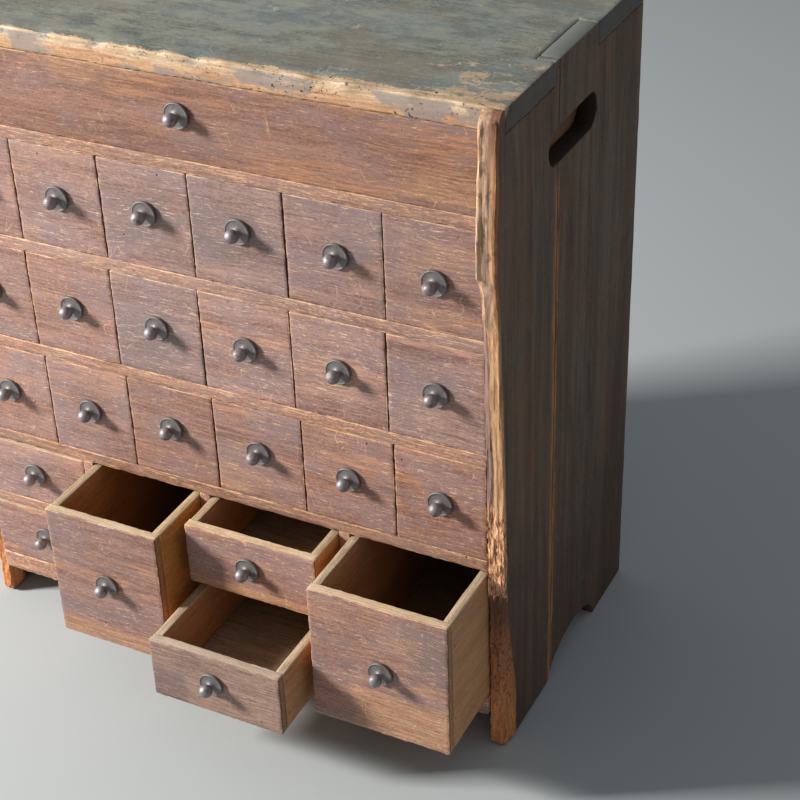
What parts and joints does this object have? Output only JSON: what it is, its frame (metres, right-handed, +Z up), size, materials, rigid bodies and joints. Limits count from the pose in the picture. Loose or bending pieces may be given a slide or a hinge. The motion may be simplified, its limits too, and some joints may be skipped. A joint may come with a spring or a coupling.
{
  "type": "apothecary cabinet",
  "caption": "Old plank medicine chest with rows of small drawers, a wide drawer above them, deep and shallow base drawers partly open, hand holds and arched feet.",
  "frame": {"origin": "on the floor under the middle of the whole object as it stands, with four base drawers partly open", "axes": "+Z up, +X to the right as seen from the front, -Y out of the drawer fronts"},
  "size_m": [0.635, 0.475, 0.7],
  "materials": {
    "aged_top": "aged grey-green patina with a low sheen",
    "dark_plank": "dark brown stained plank, worn at its edges",
    "worn_shelf": "worn orange-tan softwood",
    "raw_back": "rough unfinished board",
    "drawer_wood": "reddish brown dry stain, scratched",
    "dark_iron": "dark patinated iron"
  },
  "bodies": {
    "carcass": {"top_board": "aged_top", "side_left": "dark_plank", "side_right": "dark_plank", "back_board_lower": "raw_back", "back_board_upper": "raw_back", "top_shelf": "worn_shelf", "upper_shelf": "worn_shelf", "middle_shelf": "worn_shelf", "lower_shelf": "worn_shelf", "base_rack": "worn_shelf"},
    "drawer_top": {"top_drawer": "drawer_wood", "top_drawer_knob": "dark_iron"},
    "drawer_upper_1": {"upper_drawer_1": "drawer_wood", "upper_drawer_1_knob": "dark_iron"},
    "drawer_upper_2": {"upper_drawer_2": "drawer_wood", "upper_drawer_2_knob": "dark_iron"},
    "drawer_upper_3": {"upper_drawer_3": "drawer_wood", "upper_drawer_3_knob": "dark_iron"},
    "drawer_upper_4": {"upper_drawer_4": "drawer_wood", "upper_drawer_4_knob": "dark_iron"},
    "drawer_upper_5": {"upper_drawer_5": "drawer_wood", "upper_drawer_5_knob": "dark_iron"},
    "drawer_upper_6": {"upper_drawer_6": "drawer_wood", "upper_drawer_6_knob": "dark_iron"},
    "drawer_middle_1": {"middle_drawer_1": "drawer_wood", "middle_drawer_1_knob": "dark_iron"},
    "drawer_middle_2": {"middle_drawer_2": "drawer_wood", "middle_drawer_2_knob": "dark_iron"},
    "drawer_middle_3": {"middle_drawer_3": "drawer_wood", "middle_drawer_3_knob": "dark_iron"},
    "drawer_middle_4": {"middle_drawer_4": "drawer_wood", "middle_drawer_4_knob": "dark_iron"},
    "drawer_middle_5": {"middle_drawer_5": "drawer_wood", "middle_drawer_5_knob": "dark_iron"},
    "drawer_middle_6": {"middle_drawer_6": "drawer_wood", "middle_drawer_6_knob": "dark_iron"},
    "drawer_lower_1": {"lower_drawer_1": "drawer_wood", "lower_drawer_1_knob": "dark_iron"},
    "drawer_lower_2": {"lower_drawer_2": "drawer_wood", "lower_drawer_2_knob": "dark_iron"},
    "drawer_lower_3": {"lower_drawer_3": "drawer_wood", "lower_drawer_3_knob": "dark_iron"},
    "drawer_lower_4": {"lower_drawer_4": "drawer_wood", "lower_drawer_4_knob": "dark_iron"},
    "drawer_lower_5": {"lower_drawer_5": "drawer_wood", "lower_drawer_5_knob": "dark_iron"},
    "drawer_lower_6": {"lower_drawer_6": "drawer_wood", "lower_drawer_6_knob": "dark_iron"},
    "drawer_base_1_lower": {"base_drawer_1_lower": "drawer_wood", "base_drawer_1_lower_knob": "dark_iron"},
    "drawer_base_1_upper": {"base_drawer_1_upper": "drawer_wood", "base_drawer_1_upper_knob": "dark_iron"},
    "drawer_base_2": {"base_drawer_2": "drawer_wood", "base_drawer_2_knob": "dark_iron"},
    "drawer_base_3_lower": {"base_drawer_3_lower": "drawer_wood", "base_drawer_3_lower_knob": "dark_iron"},
    "drawer_base_3_upper": {"base_drawer_3_upper": "drawer_wood", "base_drawer_3_upper_knob": "dark_iron"},
    "drawer_base_4": {"base_drawer_4": "drawer_wood", "base_drawer_4_knob": "dark_iron"}
  },
  "joints": [
    {"name": "drawer_top_slide", "type": "slide", "parent": "carcass", "child": "drawer_top", "axis": [0, -1, 0], "range_m": [0, 0.25]},
    {"name": "drawer_upper_1_slide", "type": "slide", "parent": "carcass", "child": "drawer_upper_1", "axis": [0, -1, 0], "range_m": [0, 0.25]},
    {"name": "drawer_upper_2_slide", "type": "slide", "parent": "carcass", "child": "drawer_upper_2", "axis": [0, -1, 0], "range_m": [0, 0.25]},
    {"name": "drawer_upper_3_slide", "type": "slide", "parent": "carcass", "child": "drawer_upper_3", "axis": [0, -1, 0], "range_m": [0, 0.25]},
    {"name": "drawer_upper_4_slide", "type": "slide", "parent": "carcass", "child": "drawer_upper_4", "axis": [0, -1, 0], "range_m": [0, 0.25]},
    {"name": "drawer_upper_5_slide", "type": "slide", "parent": "carcass", "child": "drawer_upper_5", "axis": [0, -1, 0], "range_m": [0, 0.25]},
    {"name": "drawer_upper_6_slide", "type": "slide", "parent": "carcass", "child": "drawer_upper_6", "axis": [0, -1, 0], "range_m": [0, 0.25]},
    {"name": "drawer_middle_1_slide", "type": "slide", "parent": "carcass", "child": "drawer_middle_1", "axis": [0, -1, 0], "range_m": [0, 0.25]},
    {"name": "drawer_middle_2_slide", "type": "slide", "parent": "carcass", "child": "drawer_middle_2", "axis": [0, -1, 0], "range_m": [0, 0.25]},
    {"name": "drawer_middle_3_slide", "type": "slide", "parent": "carcass", "child": "drawer_middle_3", "axis": [0, -1, 0], "range_m": [0, 0.25]},
    {"name": "drawer_middle_4_slide", "type": "slide", "parent": "carcass", "child": "drawer_middle_4", "axis": [0, -1, 0], "range_m": [0, 0.25]},
    {"name": "drawer_middle_5_slide", "type": "slide", "parent": "carcass", "child": "drawer_middle_5", "axis": [0, -1, 0], "range_m": [0, 0.25]},
    {"name": "drawer_middle_6_slide", "type": "slide", "parent": "carcass", "child": "drawer_middle_6", "axis": [0, -1, 0], "range_m": [0, 0.25]},
    {"name": "drawer_lower_1_slide", "type": "slide", "parent": "carcass", "child": "drawer_lower_1", "axis": [0, -1, 0], "range_m": [0, 0.25]},
    {"name": "drawer_lower_2_slide", "type": "slide", "parent": "carcass", "child": "drawer_lower_2", "axis": [0, -1, 0], "range_m": [0, 0.25]},
    {"name": "drawer_lower_3_slide", "type": "slide", "parent": "carcass", "child": "drawer_lower_3", "axis": [0, -1, 0], "range_m": [0, 0.25]},
    {"name": "drawer_lower_4_slide", "type": "slide", "parent": "carcass", "child": "drawer_lower_4", "axis": [0, -1, 0], "range_m": [0, 0.25]},
    {"name": "drawer_lower_5_slide", "type": "slide", "parent": "carcass", "child": "drawer_lower_5", "axis": [0, -1, 0], "range_m": [0, 0.25]},
    {"name": "drawer_lower_6_slide", "type": "slide", "parent": "carcass", "child": "drawer_lower_6", "axis": [0, -1, 0], "range_m": [0, 0.25]},
    {"name": "drawer_base_1_lower_slide", "type": "slide", "parent": "carcass", "child": "drawer_base_1_lower", "axis": [0, -1, 0], "range_m": [0, 0.25]},
    {"name": "drawer_base_1_upper_slide", "type": "slide", "parent": "carcass", "child": "drawer_base_1_upper", "axis": [0, -1, 0], "range_m": [0, 0.25]},
    {"name": "drawer_base_2_slide", "type": "slide", "parent": "carcass", "child": "drawer_base_2", "axis": [0, -1, 0], "range_m": [-0.085, 0.165]},
    {"name": "drawer_base_3_lower_slide", "type": "slide", "parent": "carcass", "child": "drawer_base_3_lower", "axis": [0, -1, 0], "range_m": [-0.131, 0.119]},
    {"name": "drawer_base_3_upper_slide", "type": "slide", "parent": "carcass", "child": "drawer_base_3_upper", "axis": [0, -1, 0], "range_m": [-0.05, 0.2]},
    {"name": "drawer_base_4_slide", "type": "slide", "parent": "carcass", "child": "drawer_base_4", "axis": [0, -1, 0], "range_m": [-0.089, 0.161]}
  ]
}
